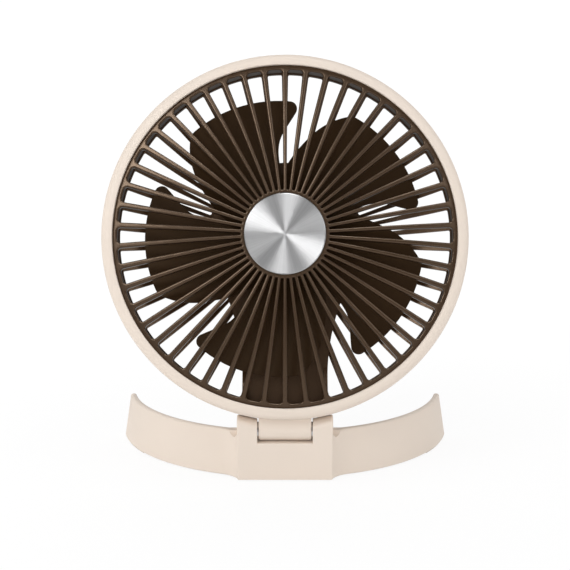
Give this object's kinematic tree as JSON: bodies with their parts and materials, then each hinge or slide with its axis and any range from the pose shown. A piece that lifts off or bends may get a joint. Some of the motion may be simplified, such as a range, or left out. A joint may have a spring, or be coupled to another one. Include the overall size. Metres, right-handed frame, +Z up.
{
  "type": "rechargeable desk fan",
  "caption": "Round-headed rechargeable desk fan: radial grille over a bladed impeller, on a tilting hinge above a low base with curved arms.",
  "frame": {"origin": "on the table, under the middle of the base block, in the underside of the front foot", "axes": "+Z up, the fan faces -Y, X to the right as the fan is seen from the front"},
  "size_m": [0.2, 0.0901, 0.2272],
  "materials": {
    "cream": "satin moulded plastic",
    "brown": "satin moulded plastic",
    "blade_brown": "satin moulded plastic",
    "spun_metal": "spun with radial sheen",
    "button": "satin moulded plastic",
    "screw_steel": "zinc plated",
    "bright_steel": "ground",
    "motor_steel": "zinc plated",
    "magnet": "dull",
    "bronze": "sintered",
    "alloy": "machined",
    "copper": "enamelled wire",
    "circuit_board": "solder mask",
    "battery_foil": "pouch foil",
    "tape": "foam tape",
    "wire": "satin insulation",
    "switch_black": "moulded",
    "led_white": "clear lens",
    "light_guide": "clear moulded",
    "bush_plastic": "acetal",
    "base_cover": "satin moulded plastic",
    "rubber": "matt silicone"
  },
  "bodies": {
    "base": {"base_frame": "cream", "base_cover": "base_cover", "base_screws": "screw_steel", "front_foot": "rubber", "arm_feet": "rubber", "hinge_pin": "bright_steel", "pin_caps": "cream", "hinge_washers": "bright_steel"},
    "head": {"head_ring": "cream", "front_grille": "brown", "centre_disc": "spun_metal", "rear_grille": "brown", "rear_cover": "brown", "grille_screws": "screw_steel", "cover_screws": "screw_steel", "bearing_tube": "alloy", "front_bearing": "bronze", "rear_bearing": "bronze", "stator_core": "motor_steel", "stator_coils": "copper", "motor_board": "circuit_board", "motor_screws": "screw_steel", "motor_leads": "wire", "battery": "battery_foil", "battery_tape": "tape", "battery_leads": "wire", "control_board": "circuit_board", "board_screws": "screw_steel", "usb_socket": "bright_steel", "tact_switch": "switch_black", "indicator_leds": "led_white", "light_guide": "light_guide", "hinge_knuckle": "cream", "knuckle_screws": "screw_steel", "friction_bushes": "bush_plastic"},
    "rotor": {"impeller": "blade_brown", "rotor_can": "motor_steel", "magnet_ring": "magnet", "motor_shaft": "bright_steel", "shaft_bush": "bronze", "retaining_clip": "screw_steel"},
    "button": {"speed_button": "button"}
  },
  "joints": [
    {"name": "head_tilt", "type": "hinge", "parent": "base", "child": "head", "pos_m": [0, -0.0023, 0.027], "axis": [-1, 0, 0], "range_deg": [-16.3, 73.7]},
    {"name": "fan_spin", "type": "hinge", "parent": "head", "child": "rotor", "pos_m": [0, 0.02731, 0.12826], "axis": [0, -0.9598, 0.2807], "continuous": true},
    {"name": "button_press", "type": "slide", "parent": "head", "child": "button", "axis": [0, -0.9598, 0.2807], "range_m": [0, 0.0007], "stiffness_N_per_m": 400}
  ]
}
